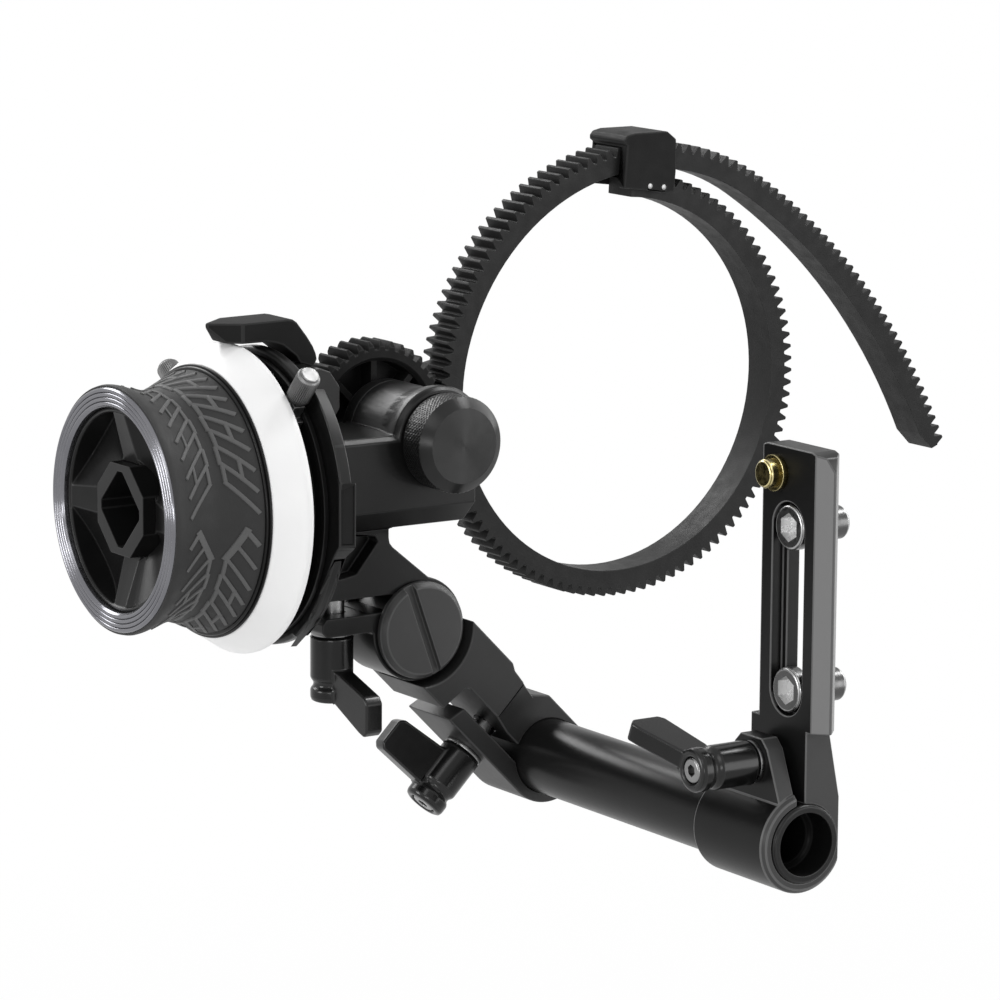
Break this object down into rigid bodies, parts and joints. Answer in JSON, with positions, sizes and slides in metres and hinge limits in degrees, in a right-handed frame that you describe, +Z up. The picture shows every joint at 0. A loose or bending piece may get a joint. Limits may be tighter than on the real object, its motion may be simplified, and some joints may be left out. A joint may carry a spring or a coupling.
{
  "type": "follow focus unit",
  "caption": "Follow focus unit: handwheel with adjustable stops, gearbox and drive gear turning a toothed lens belt, on an arm, a 15 mm rod and a slotted side plate.",
  "frame": {"origin": "centre of the open end of the 15 mm rod, at the side plate", "axes": "+X from the handwheel towards the camera, +Y along the rod and away from the user, +Z up"},
  "size_m": [0.2106, 0.1225, 0.1321],
  "materials": {
    "black_anodised": "satin black anodised",
    "polished_dark": "polished dark grey",
    "grip_rubber": "matt moulded",
    "white_disc": "satin, can be written on",
    "black_plastic": "fine matt",
    "belt_rubber": "matt moulded",
    "black_painted": "satin black",
    "steel": "bright turned",
    "black_steel": "black oxide",
    "brass": "bright turned",
    "nylon": "natural nylon"
  },
  "bodies": {
    "side_plate": {"side_plate": "black_anodised", "pin_collar": "brass"},
    "upper_collar": {"screw_collar_upper": "nylon"},
    "upper_screw": {"plate_screw_upper": "steel"},
    "lower_collar": {"screw_collar_lower": "nylon"},
    "lower_screw": {"plate_screw_lower": "steel"},
    "safety_pin": {"safety_pin": "brass"},
    "rod": {"rod": "black_anodised"},
    "arm": {"arm": "black_anodised", "arm_stub": "black_anodised"},
    "pivot_screw": {"pivot_screw": "black_anodised"},
    "gearbox": {"gearbox_housing": "black_anodised", "rear_cover": "black_anodised", "cover_screws": "black_steel", "wheel_bush": "brass", "output_bush_front": "brass", "output_bush_rear": "brass", "cross_bush_front": "brass", "cross_bush_rear": "brass", "pointer_bracket": "black_anodised"},
    "handwheel": {"wheel_core": "black_anodised", "wheel_hub": "black_anodised", "wheel_rim": "polished_dark", "wheel_grip": "grip_rubber", "grip_end_ring": "black_anodised", "marking_disc": "white_disc", "stop_track": "black_anodised", "wheel_shaft": "steel", "wheel_bevel_gear": "steel"},
    "right_stop": {"stop_nut_right": "steel"},
    "right_stop_screw": {"stop_screw_right": "steel"},
    "left_stop": {"stop_nut_left": "steel"},
    "left_stop_screw": {"stop_screw_left": "steel"},
    "cross_shaft": {"cross_shaft": "steel", "cross_bevel_gear": "steel", "cross_spur_gear": "steel"},
    "drive_shaft": {"output_shaft": "steel", "output_spur_gear": "steel", "drive_gear": "black_plastic", "drive_gear_screw": "black_steel"},
    "gear_knob": {"gear_knob": "black_anodised"},
    "lens_belt": {"lens_belt": "belt_rubber", "belt_buckle": "black_plastic", "buckle_pins": "steel"},
    "gearbox_lever_stud": {"lever_stud_gearbox": "steel", "lever_screw_gearbox": "steel", "lever_spring_gearbox": "steel"},
    "gearbox_lever_handle": {"lever_handle_gearbox": "black_painted"},
    "arm_lever_stud": {"lever_stud_arm": "steel", "lever_screw_arm": "steel", "lever_spring_arm": "steel"},
    "arm_lever_handle": {"lever_handle_arm": "black_painted"},
    "plate_lever_stud": {"lever_stud_plate": "steel", "lever_screw_plate": "steel", "lever_spring_plate": "steel"},
    "plate_lever_handle": {"lever_handle_plate": "black_painted"}
  },
  "joints": [
    {"name": "upper_screw_slide", "type": "slide", "parent": "side_plate", "child": "upper_collar", "axis": [0, 0, 1], "range_m": [-0.0105, 0]},
    {"name": "upper_screw_turn", "type": "hinge", "parent": "upper_collar", "child": "upper_screw", "pos_m": [0.006, 0.00725, 0.0586], "axis": [1, 0, 0], "continuous": true},
    {"name": "lower_screw_slide", "type": "slide", "parent": "side_plate", "child": "lower_collar", "axis": [0, 0, 1], "range_m": [0, 0.0105]},
    {"name": "lower_screw_turn", "type": "hinge", "parent": "lower_collar", "child": "lower_screw", "pos_m": [0.006, 0.00725, 0.0279], "axis": [1, 0, 0], "continuous": true},
    {"name": "safety_pin_pull", "type": "slide", "parent": "side_plate", "child": "safety_pin", "axis": [-1, 0, 0], "range_m": [0, 0.0024], "stiffness_N_per_m": 400, "springref_m": -0.002},
    {"name": "rod_slide", "type": "slide", "parent": "side_plate", "child": "rod", "axis": [0, 1, 0], "range_m": [-0.05, 0.01]},
    {"name": "arm_swing", "type": "hinge", "parent": "rod", "child": "arm", "pos_m": [0, 0.092, 0], "axis": [0, 1, 0], "range_deg": [-90, 90]},
    {"name": "pivot_screw_turn", "type": "hinge", "parent": "arm", "child": "pivot_screw", "pos_m": [-0.03129, 0.083, 0.02931], "axis": [0, 1, 0], "continuous": true},
    {"name": "gearbox_tilt", "type": "hinge", "parent": "arm", "child": "gearbox", "pos_m": [-0.03129, 0.09, 0.02931], "axis": [0, 1, 0], "range_deg": [-35, 75]},
    {"name": "handwheel_turn", "type": "hinge", "parent": "gearbox", "child": "handwheel", "pos_m": [-0.08, 0.089, 0.05827], "axis": [1, 0, 0], "range_deg": [-28, 39]},
    {"name": "right_stop_slide", "type": "hinge", "parent": "handwheel", "child": "right_stop", "pos_m": [-0.0681, 0.089, 0.05827], "axis": [1, 0, 0], "range_deg": [0, 60]},
    {"name": "left_stop_slide", "type": "hinge", "parent": "handwheel", "child": "left_stop", "pos_m": [-0.0681, 0.089, 0.05827], "axis": [1, 0, 0], "range_deg": [-60, 0]},
    {"name": "right_stop_screw_turn", "type": "hinge", "parent": "right_stop", "child": "right_stop_screw", "pos_m": [-0.0681, 0.06742, 0.0819], "axis": [0, -0.6743, 0.7385], "continuous": true},
    {"name": "left_stop_screw_turn", "type": "hinge", "parent": "left_stop", "child": "left_stop_screw", "pos_m": [-0.0681, 0.11472, 0.0773], "axis": [0, 0.8039, 0.5948], "continuous": true},
    {"name": "cross_shaft_turn", "type": "hinge", "parent": "gearbox", "child": "cross_shaft", "pos_m": [-0.03735, 0.09, 0.05827], "axis": [0, 1, 0], "range_deg": [-39, 28]},
    {"name": "drive_shaft_turn", "type": "hinge", "parent": "gearbox", "child": "drive_shaft", "pos_m": [-0.029, 0.09, 0.067], "axis": [0, 1, 0], "range_deg": [-23, 32]},
    {"name": "gear_knob_turn", "type": "hinge", "parent": "drive_shaft", "child": "gear_knob", "pos_m": [-0.029, 0.076, 0.067], "axis": [0, 1, 0], "continuous": true},
    {"name": "lens_belt_turn", "type": "hinge", "parent": "gearbox", "child": "lens_belt", "pos_m": [0.0294, 0.107, 0.07], "axis": [0, 1, 0], "range_deg": [-12, 9]},
    {"name": "gearbox_lever_turn", "type": "hinge", "parent": "gearbox", "child": "gearbox_lever_stud", "pos_m": [-0.047, 0.091, 0.0297], "axis": [0, 0, -1], "range_deg": [-20, 60]},
    {"name": "gearbox_lever_lift", "type": "slide", "parent": "gearbox_lever_stud", "child": "gearbox_lever_handle", "axis": [0, 0, -1], "range_m": [0, 0.003], "stiffness_N_per_m": 300, "springref_m": -0.003},
    {"name": "arm_lever_turn", "type": "hinge", "parent": "arm", "child": "arm_lever_stud", "pos_m": [-0.01534, 0.092, 0.00177], "axis": [-0.7071, 0, -0.7071], "range_deg": [-60, 60]},
    {"name": "arm_lever_lift", "type": "slide", "parent": "arm_lever_stud", "child": "arm_lever_handle", "axis": [-0.7071, 0, -0.7071], "range_m": [0, 0.003], "stiffness_N_per_m": 300, "springref_m": -0.003},
    {"name": "plate_lever_turn", "type": "hinge", "parent": "side_plate", "child": "plate_lever_stud", "pos_m": [-0.0055, 0.01, 0.0145], "axis": [-1, 0, 0], "range_deg": [-60, 60]},
    {"name": "plate_lever_lift", "type": "slide", "parent": "plate_lever_stud", "child": "plate_lever_handle", "axis": [-1, 0, 0], "range_m": [0, 0.003], "stiffness_N_per_m": 300, "springref_m": -0.003}
  ],
  "couplings": [
    {"joint": "cross_shaft_turn", "follows": "handwheel_turn", "ratio": -1},
    {"joint": "drive_shaft_turn", "follows": "handwheel_turn", "ratio": 0.81818},
    {"joint": "lens_belt_turn", "follows": "handwheel_turn", "ratio": -0.29822}
  ]
}
